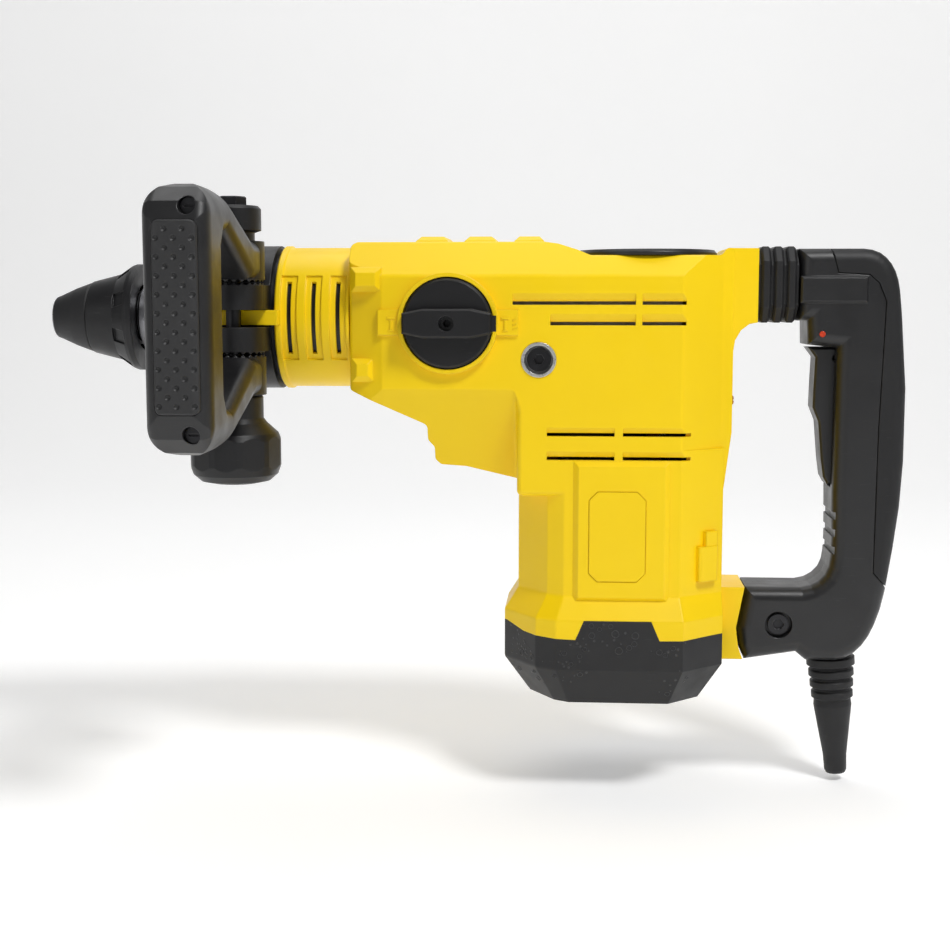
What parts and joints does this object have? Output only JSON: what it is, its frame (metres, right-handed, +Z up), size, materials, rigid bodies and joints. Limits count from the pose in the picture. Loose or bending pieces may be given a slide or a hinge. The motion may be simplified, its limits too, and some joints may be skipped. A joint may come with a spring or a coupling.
{
  "type": "rotary hammer",
  "caption": "L-shaped electric rotary hammer with SDS-max holder, upright motor, D-shaped side handle on a barrel clamp, sprung rear handle with trigger and mode knob.",
  "frame": {"origin": "centre of the mouth of the tool bore, on the spindle axis", "axes": "+X along the spindle axis from the tool mouth to the rear handle, +Z up towards the top of the gear cover, -Y the side that carries the mode knob and the side handle"},
  "size_m": [0.4744, 0.2253, 0.3218],
  "materials": {
    "yellow_abs": "satin moulded yellow",
    "black_abs": "fine textured black",
    "black_nylon": "glass filled black nylon",
    "grey_abs": "textured dark grey",
    "rubber": "soft black rubber",
    "black_metal": "black coated alloy",
    "steel": "machined steel",
    "zinc": "zinc plated steel",
    "gear_steel": "hardened steel",
    "casting": "die cast aluminium",
    "copper": "copper",
    "brass": "brass strip",
    "carbon": "pressed carbon",
    "laminations": "varnished steel sheets",
    "amber": "translucent amber",
    "red_lens": "clear red"
  },
  "bodies": {
    "body": {"cover_left": "yellow_abs", "cover_right": "yellow_abs", "motor_cap": "grey_abs", "nameplate": "yellow_abs", "crank_cap": "black_abs", "side_bushes": "zinc", "cover_screws": "steel", "brush_covers": "yellow_abs", "brush_holders": "brass", "carbon_brushes": "carbon", "barrel_housing": "black_metal", "spindle_bearings": "gear_steel", "barrel_collar": "yellow_abs", "stator": "laminations", "motor_bearings": "steel", "brush_bridge": "black_nylon", "control_module": "black_abs", "gear_housing": "casting", "housing_floor": "casting", "clamp_upper": "black_nylon", "clamp_lower": "black_nylon", "clamp_pin": "steel", "clamp_bolt": "zinc", "bolt_cap": "black_nylon", "pivot_screw": "steel", "handle_bellows": "rubber", "damper_spring": "steel"},
    "armature": {"armature_shaft": "steel", "armature_core": "laminations", "commutator": "copper", "cooling_fan": "black_nylon"},
    "crank": {"crank_gear": "gear_steel"},
    "intermediate": {"intermediate_gear": "gear_steel"},
    "spindle_group": {"spindle": "gear_steel", "ring_gear": "gear_steel", "dust_cap": "rubber", "locking_rollers": "gear_steel", "sleeve_spring": "steel"},
    "sleeve": {"lock_sleeve": "black_nylon"},
    "piston_group": {"piston": "casting", "wrist_pin": "steel", "connecting_rod": "casting", "crank_pin": "steel"},
    "striker_group": {"striker": "gear_steel"},
    "impact_group": {"impact_bolt": "gear_steel"},
    "knob_group": {"mode_knob": "black_nylon"},
    "lock_tab_group": {"knob_lock_tab": "black_nylon"},
    "dial_group": {"speed_dial": "amber"},
    "side_handle": {"d_handle": "black_abs", "grip_insert": "rubber", "grip_screws": "steel"},
    "clamp_knob_group": {"clamp_knob": "black_nylon"},
    "rear_handle": {"handle_left": "black_abs", "handle_right": "black_abs", "handle_pad": "rubber", "switch_body": "black_nylon", "indicator_lens": "red_lens", "damper_rod": "steel", "strain_boot": "rubber"},
    "trigger_group": {"trigger": "black_abs"}
  },
  "joints": [
    {"name": "armature_spin", "type": "hinge", "parent": "body", "child": "armature", "pos_m": [0.30338, 0, -0.1], "axis": [0, 0, 1], "continuous": true},
    {"name": "crank_spin", "type": "hinge", "parent": "body", "child": "crank", "pos_m": [0.334, 0, -0.03], "axis": [0, 0, 1], "continuous": true},
    {"name": "intermediate_spin", "type": "hinge", "parent": "body", "child": "intermediate", "pos_m": [0.279, 0, -0.03], "axis": [0, 0, 1], "continuous": true},
    {"name": "spindle_spin", "type": "hinge", "parent": "body", "child": "spindle_group", "pos_m": [0.1, 0, 0], "axis": [1, 0, 0], "continuous": true},
    {"name": "lock_sleeve_slide", "type": "slide", "parent": "spindle_group", "child": "sleeve", "axis": [1, 0, 0], "range_m": [0, 0.006], "stiffness_N_per_m": 1500, "springref_m": -0.006, "deforming": ["sleeve_spring"]},
    {"name": "piston_slide", "type": "slide", "parent": "body", "child": "piston_group", "axis": [1, 0, 0], "range_m": [0, 0.024]},
    {"name": "striker_slide", "type": "slide", "parent": "body", "child": "striker_group", "axis": [1, 0, 0], "range_m": [-0.01, 0.02]},
    {"name": "impact_bolt_slide", "type": "slide", "parent": "body", "child": "impact_group", "axis": [1, 0, 0], "range_m": [-0.003, 0.003]},
    {"name": "mode_knob_turn", "type": "hinge", "parent": "body", "child": "knob_group", "pos_m": [0.2276, -0.05, -0.0026], "axis": [0, -1, 0], "range_deg": [0, 180]},
    {"name": "knob_lock_slide", "type": "slide", "parent": "knob_group", "child": "lock_tab_group", "axis": [-1, 0, 0], "range_m": [0, 0.0018], "stiffness_N_per_m": 400, "springref_m": -0.003},
    {"name": "speed_dial_turn", "type": "hinge", "parent": "body", "child": "dial_group", "pos_m": [0.375, 0, -0.0455], "axis": [0, 1, 0], "range_deg": [-150, 150]},
    {"name": "side_handle_swing", "type": "hinge", "parent": "body", "child": "side_handle", "pos_m": [0.1135, -0.052, 0], "axis": [0, 0, 1], "range_deg": [-45, 45]},
    {"name": "clamp_knob_turn", "type": "hinge", "parent": "body", "child": "clamp_knob_group", "pos_m": [0.1135, -0.052, -0.064], "axis": [0, 0, 1], "range_deg": [0, 300]},
    {"name": "rear_handle_pivot", "type": "hinge", "parent": "body", "child": "rear_handle", "pos_m": [0.4084, 0, -0.1686], "axis": [0, 1, 0], "range_deg": [-1.2, 1.2], "stiffness_Nm_per_rad": 150, "deforming": ["handle_bellows", "damper_spring"]},
    {"name": "trigger_pull", "type": "hinge", "parent": "rear_handle", "child": "trigger_group", "pos_m": [0.4375, 0, -0.022], "axis": [0, -1, 0], "range_deg": [0, 6], "stiffness_Nm_per_rad": 1.2, "springref_deg": -8.59}
  ],
  "couplings": [
    {"joint": "crank_spin", "follows": "armature_spin", "ratio": -0.225},
    {"joint": "intermediate_spin", "follows": "armature_spin", "ratio": -0.3},
    {"joint": "spindle_spin", "follows": "armature_spin", "ratio": 0.12857}
  ]
}
